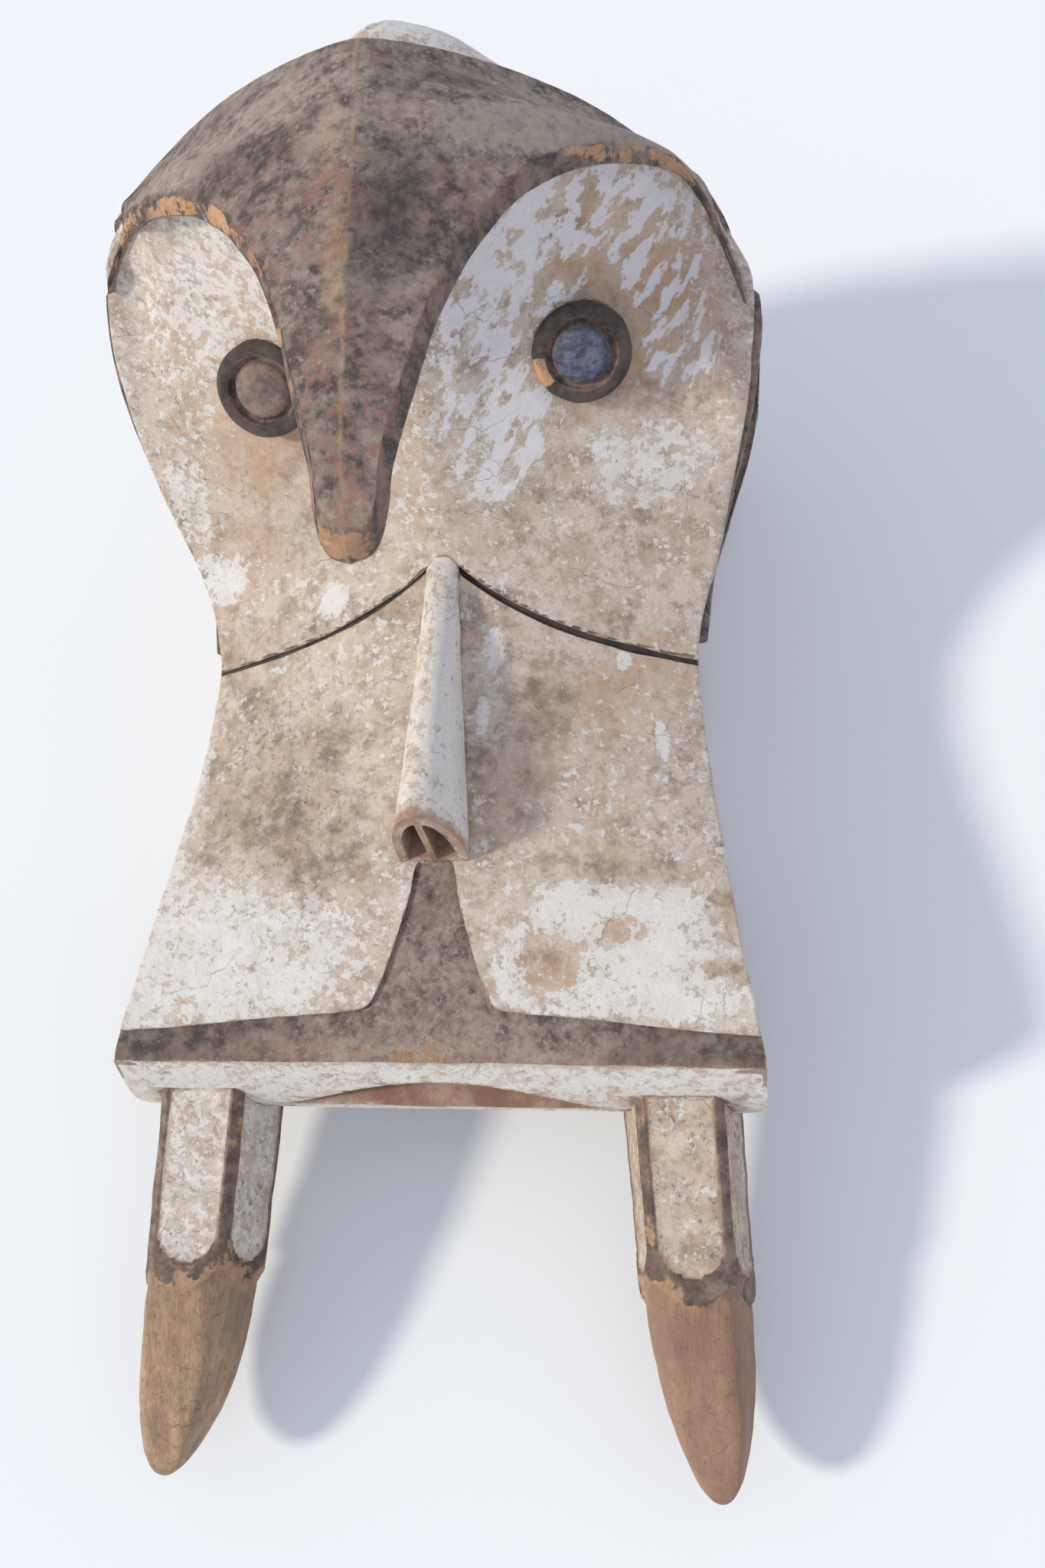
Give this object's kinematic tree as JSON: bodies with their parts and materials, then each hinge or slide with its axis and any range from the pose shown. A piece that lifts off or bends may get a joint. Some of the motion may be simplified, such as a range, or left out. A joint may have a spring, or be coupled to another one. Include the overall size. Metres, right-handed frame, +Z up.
{
  "type": "elephant mask",
  "caption": "Carved wooden elephant mask with a hollow helmet, a long snout plate, two tusks, a beaked brow, round eyes and ears in relief.",
  "frame": {"origin": "on the ground under the middle of the mask, which lies on the rim of its hollow with the face up", "axes": "+Z up, -Y towards the tips of the tusks, +X to the mask's right as seen from the front"},
  "size_m": [0.2745, 0.5494, 0.3049],
  "materials": {
    "painted_wood": "worn white clay and dark stain over carved wood"
  },
  "bodies": {
    "root": {"mask": "painted_wood"}
  },
  "joints": []
}
